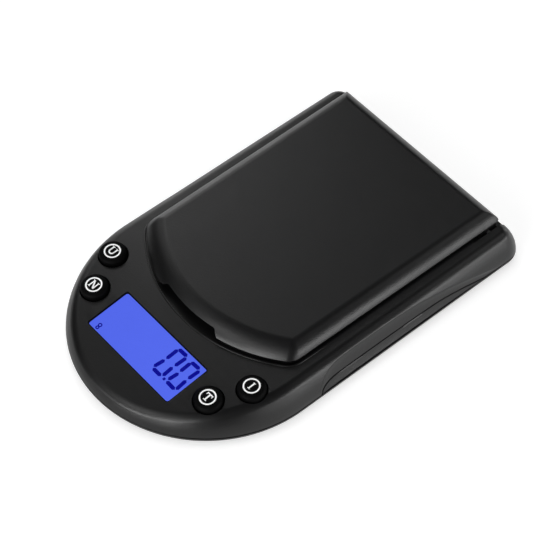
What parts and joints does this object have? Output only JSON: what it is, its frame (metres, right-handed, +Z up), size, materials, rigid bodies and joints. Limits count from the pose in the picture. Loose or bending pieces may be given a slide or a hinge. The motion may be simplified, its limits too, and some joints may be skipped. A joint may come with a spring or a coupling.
{
  "type": "digital pocket gram scale",
  "caption": "Pocket gram scale with a hinged lid over the weighing platform, a backlit display, round keys and a sliding battery door underneath.",
  "frame": {"origin": "on the table, under the middle of the body's outline", "axes": "+X to the user's right, +Y from the display back to the lid's hinge, +Z up; rest pose is lid closed, keys up and battery door shut"},
  "size_m": [0.08, 0.125, 0.0168],
  "materials": {
    "case_plastic": "satin black moulding",
    "carrier_plastic": "moulded",
    "key_rubber": "polished silicone rubber with printed white ring",
    "key_print": "printed white mark",
    "lcd_segment": "dark display segment",
    "clear_window": "clear polished",
    "lcd": "backlit blue",
    "light_guide": "white moulding",
    "board": "solder mask",
    "chip": "epoxy",
    "steel": "plated",
    "pan_steel": "brushed along its length",
    "beam_aluminium": "machined",
    "silicone": "white silicone",
    "soft_rubber": "matte",
    "lead_red": "insulation",
    "lead_black": "insulation"
  },
  "bodies": {
    "case": {"upper_case": "case_plastic", "lower_case": "case_plastic", "hinge_pin_left": "steel", "hinge_pin_right": "steel", "display_window": "clear_window", "lcd_glass": "lcd", "backlight": "light_guide", "lcd_frame": "light_guide", "zebra_strip": "soft_rubber", "switch_unit": "steel", "switch_count": "steel", "switch_tare": "steel", "switch_power": "steel", "circuit_board": "board", "controller_chip": "chip", "amplifier_chip": "chip", "board_screw_left": "steel", "board_screw_right": "steel", "load_cell": "beam_aluminium", "gauge_seal_top": "silicone", "gauge_seal_bottom": "silicone", "beam_screw_1": "steel", "beam_screw_2": "steel", "coin_cell_left": "steel", "coin_cell_right": "steel", "cell_contact_left": "steel", "cell_contact_right": "steel", "battery_lead_red": "lead_red", "battery_lead_black": "lead_black", "load_cell_lead": "silicone", "case_screw_front_left": "steel", "case_screw_front_right": "steel", "case_screw_rear_left": "steel", "case_screw_rear_right": "steel", "foot_front_left": "soft_rubber", "foot_front_right": "soft_rubber", "foot_rear_left": "soft_rubber", "foot_rear_right": "soft_rubber"},
    "lid": {"lid": "case_plastic"},
    "battery_door": {"battery_door": "case_plastic", "battery_link_plate": "steel"},
    "platform": {"weighing_platform": "pan_steel", "platform_carrier": "carrier_plastic", "carrier_screw_1": "steel", "carrier_screw_2": "steel"},
    "key_unit": {"key_unit": "key_rubber"},
    "key_count": {"key_count": "key_rubber"},
    "key_tare": {"key_tare": "key_rubber"},
    "key_power": {"key_power": "key_rubber"}
  },
  "joints": [
    {"name": "lid_hinge", "type": "hinge", "parent": "case", "child": "lid", "pos_m": [0, 0.0544, 0.0105], "axis": [-1, 0, 0], "range_deg": [0, 110]},
    {"name": "battery_door_slide", "type": "slide", "parent": "case", "child": "battery_door", "axis": [0, 1, 0], "range_m": [0, 0.03]},
    {"name": "platform_press", "type": "slide", "parent": "case", "child": "platform", "axis": [0, 0, -1], "range_m": [0, 0.0003], "stiffness_N_per_m": 16000, "springref_m": -0.00002},
    {"name": "key_unit_press", "type": "slide", "parent": "case", "child": "key_unit", "axis": [0, 0.0581, -0.9983], "range_m": [0, 0.0006], "stiffness_N_per_m": 1500, "springref_m": -0.0001},
    {"name": "key_count_press", "type": "slide", "parent": "case", "child": "key_count", "axis": [0, 0.1215, -0.9926], "range_m": [0, 0.0006], "stiffness_N_per_m": 1500, "springref_m": -0.0001},
    {"name": "key_tare_press", "type": "slide", "parent": "case", "child": "key_tare", "axis": [0, 0.1215, -0.9926], "range_m": [0, 0.0006], "stiffness_N_per_m": 1500, "springref_m": -0.0001},
    {"name": "key_power_press", "type": "slide", "parent": "case", "child": "key_power", "axis": [0, 0.0581, -0.9983], "range_m": [0, 0.0006], "stiffness_N_per_m": 1500, "springref_m": -0.0001}
  ]
}
